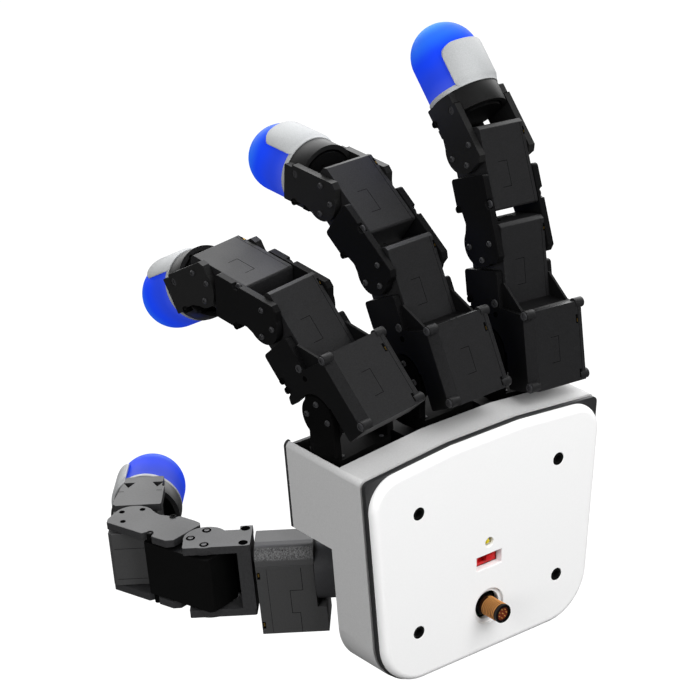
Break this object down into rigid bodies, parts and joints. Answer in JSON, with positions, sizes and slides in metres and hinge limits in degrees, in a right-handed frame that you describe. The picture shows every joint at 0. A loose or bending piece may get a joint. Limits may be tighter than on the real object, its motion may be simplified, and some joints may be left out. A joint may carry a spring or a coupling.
{
  "type": "dexterous robot hand",
  "caption": "Right-handed robot hand with jointed servo-driven fingers, an opposed thumb, rubber finger tips and a bolted wrist plate on its back cover.",
  "frame": {"origin": "centre of the wrist bolt pattern, in the plane of the back cover", "axes": "+Z towards the finger tips, +X out of the palm, the side the fingers close on, +Y towards the thumb"},
  "size_m": [0.1877, 0.1704, 0.2378],
  "materials": {
    "black_frame": "fine satin black anodised",
    "black_panel": "matt black",
    "black_servo": "fine grained matt black",
    "board_green": "matt solder mask",
    "copper": "machined, bright",
    "dark_core": "matt black",
    "lamp_yellow": "clear amber",
    "light_shell": "fine grained light grey",
    "nut_metal": "dark plated",
    "socket_red": "dark red",
    "switch_red": "satin red",
    "tip_metal": "bead blasted",
    "tip_rubber": "translucent blue silicone",
    "white_cover": "smooth satin white"
  },
  "bodies": {
    "palm": {"palm_shell": "light_shell", "palm_front_plate": "black_panel", "palm_rim": "black_panel", "palm_back_cover": "white_cover", "palm_inner_frame": "dark_core", "palm_heel_core": "dark_core", "palm_mount_bosses": "dark_core", "service_board": "board_green", "status_lamp": "lamp_yellow", "mode_switch_body": "switch_red", "socket_barrel": "copper", "socket_insert": "socket_red", "socket_nut": "nut_metal", "thumb_bracket": "dark_core"},
    "switch": {"mode_switch_slider": "switch_red"},
    "index_knuckle": {"index_yoke": "black_frame"},
    "index_proximal": {"index_proximal_frame": "black_frame", "index_proximal_housing": "black_servo", "index_proximal_cover": "black_servo", "index_middle_servo": "black_servo"},
    "index_middle": {"index_middle_plate_thumbward": "black_frame", "index_middle_plate_outward": "black_frame", "index_distal_servo": "black_servo"},
    "index_distal": {"index_distal_frame": "black_frame", "index_tip_shell": "tip_metal", "index_tip_pad": "tip_rubber"},
    "middle_knuckle": {"middle_yoke": "black_frame"},
    "middle_proximal": {"middle_proximal_frame": "black_frame", "middle_proximal_housing": "black_servo", "middle_proximal_cover": "black_servo", "middle_middle_servo": "black_servo"},
    "middle_middle": {"middle_middle_plate_thumbward": "black_frame", "middle_middle_plate_outward": "black_frame", "middle_distal_servo": "black_servo"},
    "middle_distal": {"middle_distal_frame": "black_frame", "middle_tip_shell": "tip_metal", "middle_tip_pad": "tip_rubber"},
    "ring_knuckle": {"ring_yoke": "black_frame"},
    "ring_proximal": {"ring_proximal_frame": "black_frame", "ring_proximal_housing": "black_servo", "ring_proximal_cover": "black_servo", "ring_middle_servo": "black_servo"},
    "ring_middle": {"ring_middle_plate_thumbward": "black_frame", "ring_middle_plate_outward": "black_frame", "ring_distal_servo": "black_servo"},
    "ring_distal": {"ring_distal_frame": "black_frame", "ring_tip_shell": "tip_metal", "ring_tip_pad": "tip_rubber"},
    "thumb_base": {"thumb_hub": "dark_core", "thumb_roll_servo": "black_servo", "thumb_cap": "black_servo"},
    "thumb_knuckle": {"thumb_yoke": "black_frame"},
    "thumb_middle": {"thumb_plate_lower": "black_frame", "thumb_plate_upper": "black_frame", "thumb_first_servo": "black_servo"},
    "thumb_distal": {"thumb_last_servo": "black_servo", "thumb_distal_frame": "black_frame", "thumb_tip_shell": "tip_metal", "thumb_tip_pad": "tip_rubber"}
  },
  "joints": [
    {"name": "index_spread", "type": "hinge", "parent": "palm", "child": "index_knuckle", "pos_m": [0.0354, 0.0435, 0.04748], "axis": [0, 0.0872, 0.9962], "range_deg": [-22.6, 17.4]},
    {"name": "index_knuckle_lift", "type": "hinge", "parent": "index_knuckle", "child": "index_proximal", "pos_m": [0.0354, 0.04501, 0.06477], "axis": [0.0454, -0.9952, 0.0871], "range_deg": [-50, 42]},
    {"name": "index_middle_flex", "type": "hinge", "parent": "index_proximal", "child": "index_middle", "pos_m": [0.06454, 0.04916, 0.09694], "axis": [-0.0454, 0.9952, -0.0871], "range_deg": [-52, 56]},
    {"name": "index_tip_flex", "type": "hinge", "parent": "index_middle", "child": "index_distal", "pos_m": [0.10299, 0.05125, 0.10081], "axis": [-0.0454, 0.9952, -0.0871], "range_deg": [-49, 56.5]},
    {"name": "middle_spread", "type": "hinge", "parent": "palm", "child": "middle_knuckle", "pos_m": [0.0354, 0, 0.04998], "axis": [0, 0, 1], "range_deg": [-21.6, 18.4]},
    {"name": "middle_knuckle_lift", "type": "hinge", "parent": "middle_knuckle", "child": "middle_proximal", "pos_m": [0.0354, 0, 0.06734], "axis": [0.0279, -0.9996, 0], "range_deg": [-65.9, 26.1]},
    {"name": "middle_middle_flex", "type": "hinge", "parent": "middle_proximal", "child": "middle_middle", "pos_m": [0.05457, 0.00054, 0.10649], "axis": [-0.0279, 0.9996, 0], "range_deg": [-37.7, 70.3]},
    {"name": "middle_tip_flex", "type": "hinge", "parent": "middle_middle", "child": "middle_distal", "pos_m": [0.08579, 0.00141, 0.12935], "axis": [-0.0279, 0.9996, 0], "range_deg": [-46.6, 58.9]},
    {"name": "ring_spread", "type": "hinge", "parent": "palm", "child": "ring_knuckle", "pos_m": [0.0354, -0.0435, 0.04748], "axis": [0, -0.0872, 0.9962], "range_deg": [-21.4, 18.6]},
    {"name": "ring_knuckle_lift", "type": "hinge", "parent": "ring_knuckle", "child": "ring_proximal", "pos_m": [0.0354, -0.04501, 0.06477], "axis": [0.0244, -0.9959, -0.0871], "range_deg": [-79.3, 12.7]},
    {"name": "ring_middle_flex", "type": "hinge", "parent": "ring_proximal", "child": "ring_middle", "pos_m": [0.04498, -0.04849, 0.10717], "axis": [-0.0244, 0.9959, 0.0871], "range_deg": [-20.1, 87.9]},
    {"name": "ring_tip_flex", "type": "hinge", "parent": "ring_middle", "child": "ring_distal", "pos_m": [0.05997, -0.05123, 0.14274], "axis": [-0.0244, 0.9959, 0.0871], "range_deg": [-34.2, 71.3]},
    {"name": "thumb_swing", "type": "hinge", "parent": "palm", "child": "thumb_base", "pos_m": [0.0388, 0.0323, -0.01335], "axis": [0, -0.1028, -0.9947], "range_deg": [-27.1, 37.9]},
    {"name": "thumb_roll", "type": "hinge", "parent": "thumb_base", "child": "thumb_knuckle", "pos_m": [0.06897, 0.06551, -0.01678], "axis": [0.6704, 0.738, -0.0763], "range_deg": [-9.7, 62.8]},
    {"name": "thumb_middle_lift", "type": "hinge", "parent": "thumb_knuckle", "child": "thumb_middle", "pos_m": [0.08265, 0.08057, -0.01834], "axis": [0.0479, 0.0595, 0.9971], "range_deg": [-58.4, 46.4]},
    {"name": "thumb_tip_flex", "type": "hinge", "parent": "thumb_middle", "child": "thumb_distal", "pos_m": [0.12208, 0.08901, -0.02074], "axis": [-0.0479, -0.0595, -0.9971], "range_deg": [-64.2, 43.1]},
    {"name": "mode_switch_travel", "type": "slide", "parent": "palm", "child": "switch", "axis": [0, 1, 0], "range_m": [0, 0.003]}
  ]
}
